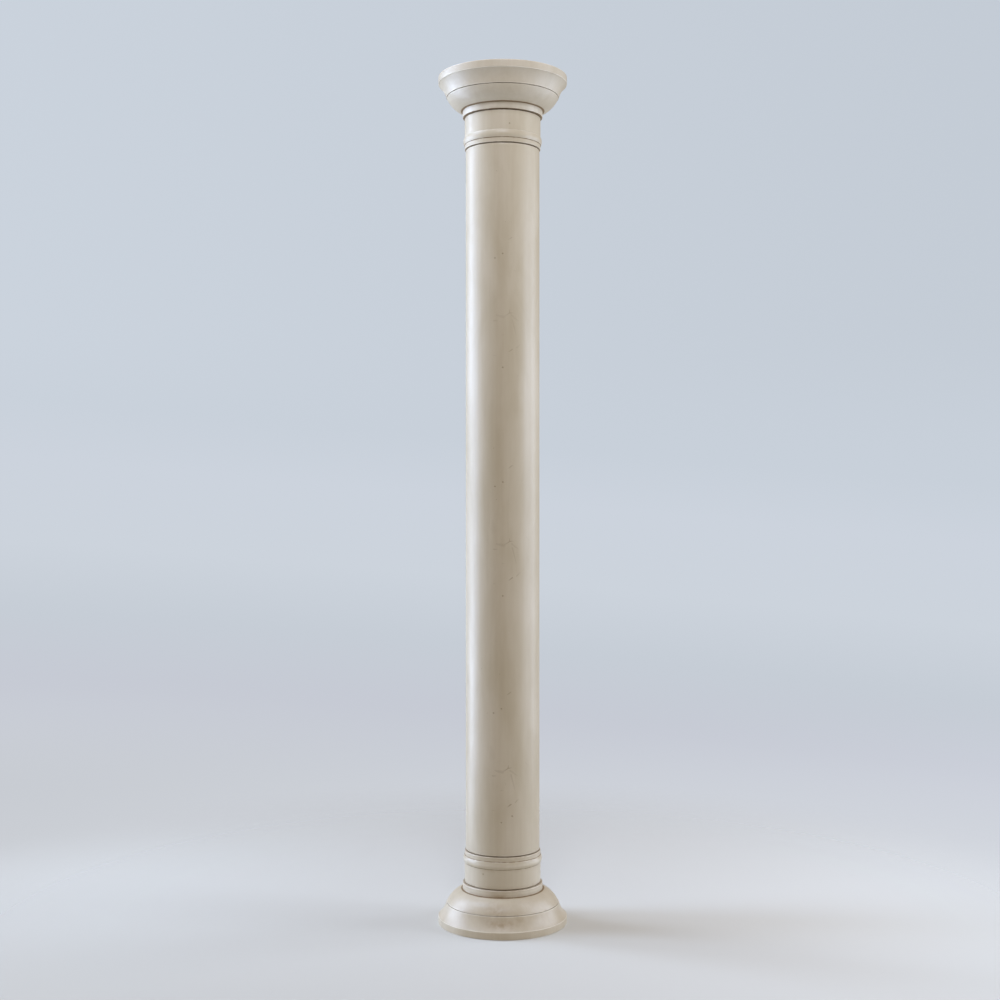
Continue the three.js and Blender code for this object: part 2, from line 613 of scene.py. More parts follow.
@dataclass
class Shaft(TurnedStone):
    """The shaft: one plain round drum."""

    facets: int = 240
    ring_spacing: float = 0.012

    def outline(self) -> Outline:
        """Draws the shaft from its lower bed to its upper one.

        Returns:
            The outline, standing on zero.
        """
        low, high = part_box(self.node)
        height = high.z - low.z
        return (Outline()
                .line(self.sizes.shaft_bed, 0)
                .line(self.sizes.shaft, 0, Corner.ARRIS, Soil.JOINT)
                .line(self.sizes.shaft, height, Corner.ARRIS)
                .line(self.sizes.shaft_bed, height, soil=Soil.JOINT)
                .line(0, height))

    def pitted_radius(self) -> float:
        """Gives the radius of the shaft."""
        return self.sizes.shaft


def on_ring(edge: bmesh.types.BMEdge, ring: Point) -> bool:
    """Says whether both ends of an edge lie on a ring of the outline, given as radius and height."""
    radius, height = ring
    return all(abs(v.co.z - height) < SAME_PLACE and abs(math.hypot(v.co.x, v.co.y) - radius) < SAME_PLACE
               for v in edge.verts)


def is_upright(edge: bmesh.types.BMEdge) -> bool:
    """Says whether an edge climbs the stone steeply, rather than running round or across it."""
    return abs(edge.verts[0].co.z - edge.verts[1].co.z) > STEEP * edge.calc_length()


def ring_gap(rings: np.ndarray, lines: np.ndarray) -> np.ndarray:
    """Measures how far each point is from the nearest line round a stone, all as radius and height."""
    return np.hypot(rings[:, None, 0] - lines[None, :, 0], rings[:, None, 1] - lines[None, :, 1]).min(1)


def stroke_gap(rings: np.ndarray, start: np.ndarray, end: np.ndarray) -> np.ndarray:
    """Measures how far each point of a stone is from a stroke of its outline.

    Args:
        rings: radius and height of each point.
        start: radius and height of the stroke's start.
        end: radius and height of its end.

    Returns:
        The distance of each point.
    """
    run = end - start
    along = np.clip((rings - start) @ run / (run @ run), 0, 1)
    return np.linalg.norm(rings - start - along[:, None] * run, axis=1)


def falloff(gap: Union[float, np.ndarray], reach: float) -> Union[float, np.ndarray]:
    """Gives one where a gap is nothing, falling smoothly away over a reach."""
    return np.exp(-((gap / reach) ** 2))


@dataclass(frozen=True)
class Flaw:
    """A short mark on the unrolled face of the shaft, from a start to an end that it thins towards."""

    start: Point
    end: Point
    width: float
    strength: float
    softness: float = 0.35


@dataclass(frozen=True)
class FlawedPatch:
    """A place on the shaft where one set of natural flaws shows: a small cracked star and its marks."""

    bearing: float
    height: float
    strength: float
    half_wide: float = 0.12
    half_tall: float = 0.38

    def centre(self, radius: float) -> Point:
        """Gives the star's centre on the unrolled face."""
        return radius * math.radians(self.bearing), self.height

    def pits(self, radius: float, holes: tuple[Point, ...]) -> list[Pit]:
        """Gives the pits round the star, from their places beside and above it."""
        across, up = self.centre(radius)
        return [Pit(math.degrees((across + aside) / radius), up + above) for aside, above in holes]


@dataclass(frozen=True)
class FlawedFace:
    """The flaws of the shaft: one set of marks, in metres from the star, that shows in every patch."""

    patches: tuple[FlawedPatch, ...] = (
        FlawedPatch(10.5, 2.1475, 0.38), FlawedPatch(10.5, 1.3547, 0.58), FlawedPatch(8.3, 0.568, 0.62),
        FlawedPatch(138.0, 1.870, 0.5), FlawedPatch(-122.0, 0.930, 0.6))
    marks: tuple[Flaw, ...] = (
        Flaw((0.0, 0.0), (0.0, 0.011), 0.0024, 0.8, 0.5),
        Flaw((0.0, 0.0), (-0.010, -0.007), 0.0026, 0.8, 0.5),
        Flaw((0.0, 0.0), (0.013, 0.001), 0.0024, 0.75, 0.5),
        Flaw((-0.020, -0.014), (-0.046, -0.008), 0.009, 0.3, 0.9),
        Flaw((-0.009, -0.006), (-0.022, -0.014), 0.004, 0.35, 0.7),
        Flaw((0.007, -0.008), (0.032, -0.027), 0.005, 0.3, 0.8),
        Flaw((0.010, -0.023), (0.024, -0.077), 0.004, 0.35, 0.8),
        Flaw((-0.056, -0.027), (-0.042, -0.027), 0.0026, 0.7, 0.5),
        Flaw((-0.056, -0.147), (-0.046, -0.147), 0.0024, 0.3, 0.5),
        Flaw((0.025, -0.121), (0.039, -0.108), 0.0022, 0.65, 0.5),
        Flaw((0.010, -0.126), (-0.003, -0.135), 0.0040, 0.8, 0.4),
        Flaw((0.066, 0.015), (0.081, 0.001), 0.0020, 0.25, 0.5),
        Flaw((-0.057, 0.040), (-0.060, 0.072), 0.020, 0.12, 1.0),
        Flaw((-0.071, 0.060), (-0.071, 0.095), 0.0026, 0.2, 0.8),
        Flaw((-0.026, -0.077), (-0.016, -0.076), 0.003, 0.25, 0.5),
        Flaw((0.009, 0.263), (-0.004, 0.254), 0.0034, 0.6, 0.4))
    holes: tuple[Point, ...] = ((-0.024, -0.189), (-0.024, 0.206), (-0.051, 0.191))
    far_off: Triple = (9.0, 9.0, 0.0)

    def draw(self, wiring: "Wiring", effects: "StoneEffects", flat: bpy.types.NodeSocket,
             radius: float) -> bpy.types.NodeSocket:
        """Draws the marks at the nearest patch.

        Args:
            wiring: the material's nodes.
            effects: the shared effects.
            flat: where the point is on the unrolled face.
            radius: the radius on which the face is unrolled.

        Returns:
            How strongly a mark shows at the point.
        """
        local: Feed = self.far_off
        strength: Feed = 0.0
        for patch in self.patches:
            offset = wiring.vector("SUBTRACT", flat, (*patch.centre(radius), 0.0))
            share = wiring.vector("DIVIDE", offset, (patch.half_wide, patch.half_tall, 1.0))
            parts = wiring.add("SeparateXYZ", {0: wiring.vector("ABSOLUTE", share)}).outputs
            inside = wiring.math("LESS_THAN", wiring.math("MAXIMUM", parts["X"], parts["Y"]), 1.0)
            local = wiring.mix(inside, local, offset, "VECTOR")
            strength = wiring.mix(inside, strength, patch.strength, "FLOAT")
        shown: Feed = 0.0
        for mark in self.marks:
            drawn = wiring.use(effects.flaw, {
                "Flat": local, "Start": (*mark.start, 0.0), "End": (*mark.end, 0.0), "Width": mark.width,
                "Softness": mark.softness}).outputs[0]
            shown = wiring.math("MAXIMUM", shown, wiring.math("MULTIPLY", drawn, mark.strength))
        return wiring.math("MULTIPLY", shown, strength)


class Wiring:
    """A node tree that is being wired, for a material, a world or a group of nodes."""

    def __init__(self, tree: bpy.types.NodeTree) -> None:
        """Starts with an empty tree."""
        self.tree = tree
        tree.nodes.clear()

    def feed(self, node: bpy.types.Node, inputs: Feeds) -> bpy.types.Node:
        """Feeds a node's inputs.

        Args:
            node: the node.
            inputs: a value or another node's output for each input, by name or number.

        Returns:
            The node.
        """
        for key, value in inputs.items():
            if isinstance(value, bpy.types.NodeSocket):
                self.tree.links.new(value, node.inputs[key])
            else:
                node.inputs[key].default_value = value
        return node

    def add(self, kind: str, inputs: Optional[Feeds] = None, **settings: Any) -> bpy.types.Node:
        """Adds a node, sets it up and feeds its inputs.

        Args:
            kind: the node's type, without the word that all shader nodes start with.
            inputs: what to feed it.
            settings: the node's own settings.

        Returns:
            The node.
        """
        node = self.tree.nodes.new("ShaderNode" + kind)
        for name, value in settings.items():
            setattr(node, name, value)
        return self.feed(node, inputs or {})

    def math(self, operation: str, *values: Feed) -> bpy.types.NodeSocket:
        """Adds a sum on numbers and gives its result."""
        return self.add("Math", dict(enumerate(values)), operation=operation).outputs[0]

    def vector(self, operation: str, *values: Feed, result: str = "Vector") -> bpy.types.NodeSocket:
        """Adds a sum on vectors and gives its result."""
        return self.add("VectorMath", dict(enumerate(values)), operation=operation).outputs[result]

    def ramp(self, value: Feed, low: float, high: float, least: float = 0.0,
             most: float = 1.0) -> bpy.types.NodeSocket:
        """Turns a value between low and high into a smooth one between least and most."""
        feeds = {"Value": value, "From Min": low, "From Max": high, "To Min": least, "To Max": most}
        return self.add("MapRange", feeds, interpolation_type="SMOOTHSTEP").outputs["Result"]

    def noise(self, place: Feed, scale: float, detail: float) -> bpy.types.NodeSocket:
        """Adds a smooth noise and gives its value."""
        return self.add("TexNoise", {"Vector": place, "Scale": scale, "Detail": detail}).outputs[0]

    def mix(self, share: Feed, under: Feed, over: Feed, kind: str) -> bpy.types.NodeSocket:
        """Goes from one value, vector or colour to another by a share."""
        first, second, result = MIX_SOCKETS[kind]
        return self.add("Mix", {0: share, first: under, second: over}, data_type=kind).outputs[result]

    def tint(self, share: Feed, under: Feed, over: Feed) -> bpy.types.NodeSocket:
        """Lays one colour over another by a share and gives the colour."""
        return self.mix(share, under, over, "RGBA")

    def scaled(self, vector: Feed, share: Feed) -> bpy.types.NodeSocket:
        """Makes a vector longer or shorter and gives it."""
        return self.add("VectorMath", {0: vector, "Scale": share}, operation="SCALE").outputs[0]

    def use(self, group: bpy.types.NodeTree, inputs: Feeds) -> bpy.types.Node:
        """Places a group of nodes and feeds its inputs."""
        return self.add("Group", inputs, node_tree=group)


class Effect(Wiring):
    """A group of nodes that materials share, which is being wired."""

    def __init__(self, name: str, *numbers: str, vectors: tuple[str, ...] = ("Place",)) -> None:
        """Starts the group.

        Args:
            name: the group's name.
            numbers: the names of the inputs that take a number.
            vectors: the names of the inputs that take a vector.
        """
        super().__init__(bpy.data.node_groups.new(name, "ShaderNodeTree"))
        for title in vectors + numbers:
            self.open_socket(title, "INPUT", "Vector" if title in vectors else "Float")
        self.given = self.tree.nodes.new("NodeGroupInput").outputs

    def open_socket(self, title: str, side: str, kind: str) -> None:
        """Gives the group an input or an output."""
        self.tree.interface.new_socket(title, in_out=side, socket_type=f"NodeSocket{kind}")

    def finished(self, results: dict[str, bpy.types.NodeSocket]) -> bpy.types.NodeTree:
        """Ends the group.

        Args:
            results: what the group puts out under each name.

        Returns:
            The group.
        """
        for title, result in results.items():
            self.open_socket(title, "OUTPUT", "Vector" if result.type == "VECTOR" else "Float")
        self.feed(self.tree.nodes.new("NodeGroupOutput"), results)
        return self.tree


@dataclass
class StoneEffects:
    """The effects of the stones' finishes, each of which is built at its first use.

    A ramp is where it starts and ends, and what it gives at either end where that isn't 0 and 1.
    """

    wander_scale: float = 70.0
    wander_detail: float = 3.0
    noise_middle: Triple = (0.5, 0.5, 0.5)
    level: Triple = (1.0, 1.0, 0.0)
    cloud_detail: float = 4.0
    cloud_roughness: float = 0.55
    cloud_distortion: float = 0.4
    cloud_edges: Ramp = (0.3, 0.7)
    speck_sizes: Ramp = (0.0, 1.0, 0.45, 1.0)
    speck_edges: Ramp = (1.0, 0.4)
    flaw_taper: Ramp = (0.3, 1.0, 0.5, 0.2)
    flaw_blur: float = 0.95
    wave_scale: float = 38.0
    wave_detail: float = 2.0
    wave_height: float = 0.4
    grain_scale: float = 620.0
    grain_detail: float = 3.0
    grain_height: float = 0.3
    patch_scale: float = 55.0
    patch_detail: float = 4.0
    dirt_breaks: Ramp = (0.3, 0.65, 0.85, 1.15)
    dirt_edges: Ramp = (0.12, 0.75)
    stain_breaks: Ramp = (0.35, 0.6, 0.35, 1.0)

    @cached_property
    def unrolled(self) -> bpy.types.NodeTree:
        """Lays the round face out flat in metres, a little crooked so that fine lines wander.

        Returns:
            The group.
        """
        wiring = Effect("unrolled_face", "Radius", "Crookedness")
        given = wiring.given
        parts = wiring.add("SeparateXYZ", {0: given["Place"]}).outputs
        bearing = wiring.math("ARCTAN2", parts["X"], wiring.math("MULTIPLY", parts["Y"], -1.0))
        across = wiring.math("MULTIPLY", bearing, given["Radius"])
        flat = wiring.add("CombineXYZ", {"X": across, "Y": parts["Z"]}).outputs[0]
        wander = wiring.add("TexNoise", {"Vector": given["Place"], "Scale": self.wander_scale,
                                         "Detail": self.wander_detail}).outputs["Color"]
        shift = wiring.vector("SUBTRACT", wander, self.noise_middle)
        level = wiring.vector("MULTIPLY", shift, self.level)
        bend = wiring.scaled(level, given["Crookedness"])
        return wiring.finished({"Flat": wiring.vector("ADD", flat, bend)})

    @cached_property
    def clouds(self) -> bpy.types.NodeTree:
        """Soft clouds in the stone, drawn out upwards by a streak.

        Returns:
            The group.
        """
        wiring = Effect("stone_clouds", "Scale", "Streak")
        given = wiring.given
        squeeze = wiring.math("DIVIDE", 1.0, given["Streak"])
        stretch = wiring.add("CombineXYZ", {"X": 1.0, "Y": 1.0, "Z": squeeze}).outputs[0]
        drawn = wiring.vector("MULTIPLY", given["Place"], stretch)
        cloudy = wiring.add("TexNoise", {
            "Vector": drawn, "Scale": given["Scale"], "Detail": self.cloud_detail,
            "Roughness": self.cloud_roughness, "Distortion": self.cloud_distortion}).outputs[0]
        return wiring.finished({"Clouds": wiring.ramp(cloudy, *self.cloud_edges)})

    @cached_property
    def specks(self) -> bpy.types.NodeTree:
        """Small dark holes strewn through the stone, in a share of the cells of a net.

        Returns:
            The group.
        """
        wiring = Effect("stone_specks", "Cells", "Share", "Size")
        given = wiring.given
        net = wiring.add("TexVoronoi", {"Vector": given["Place"], "Scale": given["Cells"]})
        lot = wiring.add("SeparateColor", {0: net.outputs["Color"]}).outputs
        chosen = wiring.math("LESS_THAN", lot[0], given["Share"])
        own_size = wiring.math("MULTIPLY", given["Size"], wiring.ramp(lot[1], *self.speck_sizes))
        depth = wiring.math("DIVIDE", net.outputs["Distance"], own_size)
        hole = wiring.ramp(depth, *self.speck_edges)
        return wiring.finished({"Specks": wiring.math("MULTIPLY", chosen, hole)})

    @cached_property
    def flaw(self) -> bpy.types.NodeTree:
        """A mark between two places on the unrolled face, thinning towards its end.

        Returns:
            The group.
        """
        wiring = Effect("flaw", "Width", "Softness", vectors=("Flat", "Start", "End"))
        given = wiring.given
        run = wiring.vector("SUBTRACT", given["End"], given["Start"])
        reach = wiring.vector("SUBTRACT", given["Flat"], given["Start"])
        along = wiring.math("DIVIDE", wiring.vector("DOT_PRODUCT", reach, run, result="Value"),
                            wiring.vector("DOT_PRODUCT", run, run, result="Value"))
        kept = wiring.add("Clamp", {"Value": along}).outputs[0]
        foot = wiring.scaled(run, kept)
        gap = wiring.vector("LENGTH", wiring.vector("SUBTRACT", reach, foot), result="Value")
        half = wiring.math("MULTIPLY", given["Width"], wiring.ramp(kept, *self.flaw_taper))
        blur = wiring.math("MULTIPLY", given["Softness"], self.flaw_blur)
        line = wiring.ramp(wiring.math("DIVIDE", gap, half), wiring.math("ADD", 1.0, blur),
                           wiring.math("SUBTRACT", 1.0, blur))
        return wiring.finished({"Line": line})

    @cached_property
    def grain(self) -> bpy.types.NodeTree:
        """The fine height of a rubbed stone face: shallow waves of the rubbing, and a soft grain.

        Returns:
            The group.
        """
        wiring = Effect("stone_grain")
        given = wiring.given
        waves = wiring.noise(given["Place"], self.wave_scale, self.wave_detail)
        fine = wiring.noise(given["Place"], self.grain_scale, self.grain_detail)
        height = wiring.math("ADD", wiring.math("MULTIPLY", waves, self.wave_height),
                             wiring.math("MULTIPLY", fine, self.grain_height))
        return wiring.finished({"Height": height})

    @cached_property
    def gathered(self) -> bpy.types.NodeTree:
        """Breaks the edge of the dirt that has gathered in the hollows, so that it ends unevenly.

        Returns:
            The group.
        """
        wiring = Effect("gathered_dirt", "Dirt", "Stain")
        given = wiring.given
        patches = wiring.noise(given["Place"], self.patch_scale, self.patch_detail)
        broken = wiring.math("MULTIPLY", given["Dirt"], wiring.ramp(patches, *self.dirt_breaks))
        spread = wiring.math("MULTIPLY", given["Stain"], wiring.ramp(patches, *self.stain_breaks))
        return wiring.finished({"Dirt": wiring.ramp(broken, *self.dirt_edges), "Stain": spread})


def linear(red: float, green: float, blue: float) -> Triple:
    """Turns a colour as a screen shows it, each part out of 255, into linear light by the sRGB curve."""
    return tuple(part / 255 / 12.92 if part <= 10 else ((part / 255 + 0.055) / 1.055) ** 2.4
                 for part in (red, green, blue))


@dataclass(frozen=True)
class Limestone:
    """The finish of one stone: cream limestone, finely rubbed, with dirt where hands don't reach, and with
    paler edges that are partly wear and partly painted highlight.
    """

    name: str
    shift: Triple
    # A shift of the stone's colour for this block: partly its own, partly painted light.
    tone_and_light: Triple = (1.0, 1.0, 1.0)
    pale: Triple = linear(203, 191, 168)
    deep: Triple = linear(192, 179, 153)
    warm: Triple = linear(150, 122, 84)
    dirt: Triple = linear(134, 112, 82)
    # A paler colour for outer edges and some mouldings: partly wear, partly painted highlight and painted
    # light.
    worn_and_highlight: Triple = linear(232, 224, 206)
    roughness: float = 0.4
    hollow_roughness: float = 0.8
    cloud_scale: float = 9.0
    cloud_streak: float = 3.0
    speck_cells: float = 95.0
    speck_share: float = 0.02
    speck_size: float = 0.16
    streak_scale: float = 95.0
    streak_length: float = 26.0
    crookedness: float = 0.0035
    streak_share: float = 0.06
    edge_wear_and_highlight_share: float = 0.8
    edge_breaks: Ramp = (0.1, 0.9, 0.75, 1.15)
    edge_ends: Ramp = (0.15, 1.0)
    stain_share: float = 0.5
    hole_share: float = 0.8
    hole_depth: float = 1.5
    bump_strength: float = 0.35
    bump_distance: float = 0.0006
    flaws: Optional[FlawedFace] = None

    def material(self, effects: StoneEffects, radius: float) -> bpy.types.Material:
        """Mixes the finish as a material.

        Args:
            effects: the shared effects.
            radius: the radius on which the face is unrolled.

        Returns:
            The material.
        """
        made = bpy.data.materials.new(self.name)
        made.use_nodes = True
        wiring = Wiring(made.node_tree)
        place = wiring.add("TexCoord").outputs["Object"]
        own = wiring.add("Mapping", {"Vector": place, "Location": self.shift}).outputs[0]
        clouds = wiring.use(effects.clouds, {"Place": own, "Scale": self.cloud_scale,
                                             "Streak": self.cloud_streak}).outputs[0]
        specks = wiring.use(effects.specks, {"Place": own, "Cells": self.speck_cells,
                                             "Share": self.speck_share, "Size": self.speck_size}).outputs[0]
        grain = wiring.use(effects.grain, {"Place": own}).outputs[0]
        marks = {mark: wiring.add("Attribute", attribute_name=mark.value).outputs["Fac"] for mark in Mark}
        gathered = wiring.use(effects.gathered, {"Place": own, "Dirt": marks[Mark.DIRT],
                                                 "Stain": marks[Mark.STAIN_AND_SHADE]}).outputs
        holes = wiring.math("MAXIMUM", marks[Mark.PIT], specks)
        streaks = wiring.use(effects.clouds, {"Place": own, "Scale": self.streak_scale,
                                              "Streak": self.streak_length}).outputs[0]
        flaws = self.shown_flaws(wiring, effects, place, radius)
        colour = wiring.tint(clouds, self.toned(self.deep), self.toned(self.pale))
        # Outer edges and some mouldings are painted paler: partly wear, partly painted highlight and
        # painted light.
        broken = wiring.math("MULTIPLY", marks[Mark.EDGE], wiring.ramp(clouds, *self.edge_breaks))
        rubbed = wiring.ramp(broken, *self.edge_ends)
        for shown, share, over in (
            (streaks, self.streak_share, self.toned(self.warm)),
            (rubbed, self.edge_wear_and_highlight_share, opaque(self.worn_and_highlight)),
            # The stain carries the base's front patches too, which are partly painted shade.
            (gathered["Stain"], self.stain_share, opaque(self.warm)),
            (holes, self.hole_share, opaque(self.dirt)),
        ):
            colour = wiring.tint(wiring.math("MULTIPLY", shown, share), colour, over)
        if flaws is not None:
            colour = wiring.tint(flaws, colour, opaque(self.dirt))
        colour = wiring.tint(gathered["Dirt"], colour, opaque(self.dirt))
        dull = wiring.math("MAXIMUM", gathered["Dirt"], holes)
        rough = wiring.ramp(dull, 0.0, 1.0, self.roughness, self.hollow_roughness)
        height = wiring.math("SUBTRACT", grain, wiring.math("MULTIPLY", specks, self.hole_depth))
        if flaws is not None:
            height = wiring.math("SUBTRACT", height, flaws)
        relief = wiring.add("Bump", {"Height": height, "Strength": self.bump_strength,
                                     "Distance": self.bump_distance})
        stone = wiring.add("BsdfPrincipled", {"Base Color": colour, "Roughness": rough,
                                              "Normal": relief.outputs[0]})
        wiring.add("OutputMaterial", {"Surface": stone.outputs[0]})
        return made

    def toned(self, colour: Triple) -> tuple[float, float, float, float]:
        """Gives a colour of the stone as this block shifts it, partly in its own colour and partly as
        painted light.
        """
        return opaque(tuple(part * share for part, share in zip(colour, self.tone_and_light)))

    def shown_flaws(self, wiring: Wiring, effects: StoneEffects, place: bpy.types.NodeSocket,
                    radius: float) -> Optional[bpy.types.NodeSocket]:
        """Draws the stone's flaws.

        Args:
            wiring: the material's nodes.
            effects: the shared effects.
            place: where the point is on the column.
            radius: the radius on which the face is unrolled.

        Returns:
            How strongly a flaw shows at the point, or None for a stone without any.
        """
        if self.flaws is None:
            return None
        flat = wiring.use(effects.unrolled, {"Place": place, "Radius": radius,
                                             "Crookedness": self.crookedness}).outputs[0]
        return self.flaws.draw(wiring, effects, flat, radius)


def opaque(colour: Triple) -> tuple[float, float, float, float]:
    """Gives a colour with full cover, as colour sockets take it."""
    return (*colour, 1.0)


@dataclass(frozen=True)
class Softbox:
    """A soft studio light on a stand, turned to the column and never seen itself."""

    name: str
    bearing: float
    distance: float
    height: float
    power: float
    colour: Triple
    aim: float = 1.5
    width: float = 0.8
    tall: float = 1.6

    def build(self) -> None:
        """Sets the light up."""
        lamp = bpy.data.lights.new(self.name, "AREA")
        lamp.shape = "RECTANGLE"
        lamp.size = self.width
        lamp.size_y = self.tall
        lamp.energy = self.power
        lamp.color = self.colour
        light = bpy.data.objects.new(self.name, lamp)
        turn = math.radians(self.bearing)
        stand = Vector((math.sin(turn), -math.cos(turn), 0)) * self.distance
        light.location = stand + Vector((0, 0, self.height))
        gaze = Vector((0, 0, self.aim)) - light.location
        light.rotation_euler = gaze.to_track_quat("-Z", "Y").to_euler()
        light.visible_camera = False
        bpy.context.scene.collection.objects.link(light)


@dataclass(frozen=True)
class Backdrop:
    """The pale studio beyond the floor, which is seen by direction alone with painted light across it, and
    the light it gives.
    """

    stops: tuple[tuple[float, Triple], ...] = (
        (-0.33, linear(214, 217, 222)), (-0.20, linear(205, 209, 216)), (-0.145, linear(198, 202, 212)),
        (-0.10, linear(198, 205, 214)), (-0.055, linear(204, 211, 220)), (0.0, linear(204, 211, 221)),
        (0.04, linear(200, 208, 218)), (0.33, linear(199, 207, 217)))
    tilt: float = 0.09
    glow: Triple = (0.337, 0.270, 0.212)
    bounce: Triple = (0.43, 0.418, 0.41)
    painted_light_above: Ramp = (0.02, 0.12, 0.0, -0.11)
    painted_light_below: Ramp = (-0.19, -0.13, 0.2, 0.0)
    horizon: float = 0.08

    def build(self) -> None:
        """Wires the backdrop as the scene's world."""
        world = bpy.data.worlds.new("studio")
        world.use_nodes = True
        wiring = Wiring(world.node_tree)
        direction = wiring.add("TexCoord").outputs["Generated"]
        parts = wiring.add("SeparateXYZ", {0: direction}).outputs
        level = wiring.math("MULTIPLY_ADD", parts["X"], self.tilt, parts["Z"])
        blend = wiring.add("ValToRGB", {0: wiring.math("MULTIPLY_ADD", level, 0.5, 0.5)})
        bands = blend.color_ramp.elements
        while len(bands) < len(self.stops):
            bands.new(1.0)
        for band, (at, colour) in zip(bands, self.stops):
            band.position = at / 2 + 0.5
            band.color = opaque(colour)
        # The seen backdrop is painted brighter to the left above the horizon and to the right below it:
        # painted light from the side.
        painted_light_slope = wiring.math("ADD", wiring.ramp(parts["Z"], *self.painted_light_above),
                            wiring.ramp(parts["Z"], *self.painted_light_below))
        seen = wiring.add("Background", {"Color": blend.outputs[0],
                                         "Strength": wiring.math("MULTIPLY_ADD", parts["X"], painted_light_slope, 1.0)})
        upward = wiring.ramp(parts["Z"], -self.horizon, self.horizon)
        colour = wiring.tint(upward, opaque(self.bounce), opaque(self.glow))
        cast = wiring.add("Background", {"Color": colour})
        by_camera = wiring.add("LightPath").outputs["Is Camera Ray"]
        both = wiring.add("MixShader", {0: by_camera, 1: cast.outputs[0], 2: seen.outputs[0]})
        wiring.add("OutputWorld", {"Surface": both.outputs[0]})
        bpy.context.scene.world = world


@dataclass(frozen=True)
class Floor:
    """The pale studio floor, painted darker to the left as painted shade, which fades into the backdrop far
    from the column.
    """

    radius: float = 2.8
    facets: int = 96
    solid_to: float = 0.8
    gone_at: float = 2.6
    painted_shade_left: Triple = (0.500, 0.478, 0.415)
    painted_light_right: Triple = (0.745, 0.735, 0.680)
    half_way: float = 1.9
    roughness: float = 0.85
    gloss: float = 0.2

    def build(self) -> None:
        """Lays the floor."""
        bm = bmesh.new()
        bmesh.ops.create_circle(bm, cap_ends=True, radius=self.radius, segments=self.facets)
        mesh = bpy.data.meshes.new("studio_floor")
        bm.to_mesh(mesh)
        bm.free()
        mesh.materials.append(self.material())
        floor = bpy.data.objects.new(mesh.name, mesh)
        bpy.context.scene.collection.objects.link(floor)

    def material(self) -> bpy.types.Material:
        """Mixes the floor's pale matt paint, with its painted shade to the left, and its fading edge.

        Returns:
            The material.
        """
        made = bpy.data.materials.new("floor_paint")
        made.use_nodes = True
        wiring = Wiring(made.node_tree)
        place = wiring.add("TexCoord").outputs["Object"]
        away = wiring.vector("LENGTH", place, result="Value")
        gone = wiring.ramp(away, self.solid_to, self.gone_at)
        # The paint runs darker to the left and paler to the right: painted shade against the strong light
        # from the left lamps.
        aside = wiring.add("SeparateXYZ", {0: place}).outputs["X"]
        share = wiring.add("MapRange", {"Value": aside, "From Min": -self.half_way,
                                        "From Max": self.half_way}).outputs["Result"]
        colour = wiring.tint(share, opaque(self.painted_shade_left), opaque(self.painted_light_right))
        paint = wiring.add("BsdfPrincipled", {"Base Color": colour, "Roughness": self.roughness,
                                              "Specular IOR Level": self.gloss})
        clear = wiring.add("BsdfTransparent")
        both = wiring.add("MixShader", {0: gone, 1: paint.outputs[0], 2: clear.outputs[0]})
        wiring.add("OutputMaterial", {"Surface": both.outputs[0]})
        return made


@dataclass(frozen=True)
class Viewpoint:
    """Where the camera stands: level, in front of the column, at half its height."""

    lens: float = 52.2
    sensor: float = 36.0
    distance: float = 5.16
    aside: float = -0.0093
    drop: float = 0.0014

    def build(self) -> None:
        """Sets the camera up and makes it the scene's own."""
        low, high = CAD_BOX
        camera = bpy.data.cameras.new("view")
        camera.lens = self.lens
        camera.sensor_width = self.sensor
        seen_from = bpy.data.objects.new("view", camera)
        seen_from.location = (self.aside, -self.distance, (low.z + high.z) / 2 - self.drop)
        seen_from.rotation_euler = (math.pi / 2, 0, 0)
        bpy.context.scene.collection.objects.link(seen_from)
        bpy.context.scene.camera = seen_from


@dataclass(frozen=True)
class Studio:
    """The plain studio round the column."""

    viewpoint: Viewpoint = Viewpoint()
    backdrop: Backdrop = Backdrop()
    floor: Floor = Floor()
    softboxes: tuple[Softbox, ...] = (
        Softbox("left_low", -113, 3.4, 0.55, 39.0, BACK_LIGHT, aim=0.75),
        Softbox("left_foot", -108, 2.6, 0.45, 6.0, BACK_LIGHT, aim=0.3, tall=0.8),
        Softbox("left_high", -113, 3.4, 3.0, 68.0, BACK_LIGHT, aim=2.5, tall=2.3),
        Softbox("left_back", -122, 3.7, 2.2, 12.0, LEFT_LIGHT, aim=1.0),
        Softbox("left_side_low", -93, 3.4, 0.75, 29.0, LEFT_LIGHT, aim=0.75),
        Softbox("left_side_high", -93, 3.4, 2.35, 38.0, LEFT_LIGHT, aim=2.35),
        Softbox("left_over", -90, 2.4, 4.6, 60.0, LEFT_LIGHT),
        Softbox("front_over", 0, 2.4, 4.6, 52.0, FRONT_LIGHT),
        Softbox("right_low", 80, 3.4, 0.75, 16.0, RIGHT_LIGHT, aim=0.75),
        Softbox("right_high", 80, 3.4, 2.35, 36.0, RIGHT_LIGHT, aim=2.35),
        Softbox("right_side_low", 107, 3.4, 0.75, 22.0, RIGHT_LIGHT, aim=0.75),
        Softbox("right_side_high", 107, 3.4, 2.35, 28.0, RIGHT_LIGHT, aim=2.35),
        Softbox("right_over", 90, 2.4, 4.6, 17.0, RIGHT_LIGHT),
    )

    def build(self) -> None:
        """Sets up the camera, backdrop, floor and lights."""
        self.viewpoint.build()
        self.backdrop.build()
        self.floor.build()
        for softbox in self.softboxes:
            softbox.build()
        bpy.context.scene.view_settings.view_transform = "Standard"


# Colour shifts of the stones, lighter and cooler than the shaft: partly their own, partly painted light
# standing for the sheen on the base and lower necking and the cool light under the capital.
BASE_TONE_AND_SHEEN = (1.015, 1.015, 1.02)
NECKING_TONE_AND_SHEEN = (1.05, 1.06, 1.08)
CAPITAL_TONE_AND_COOL_LIGHT = (1.02, 1.03, 1.07)
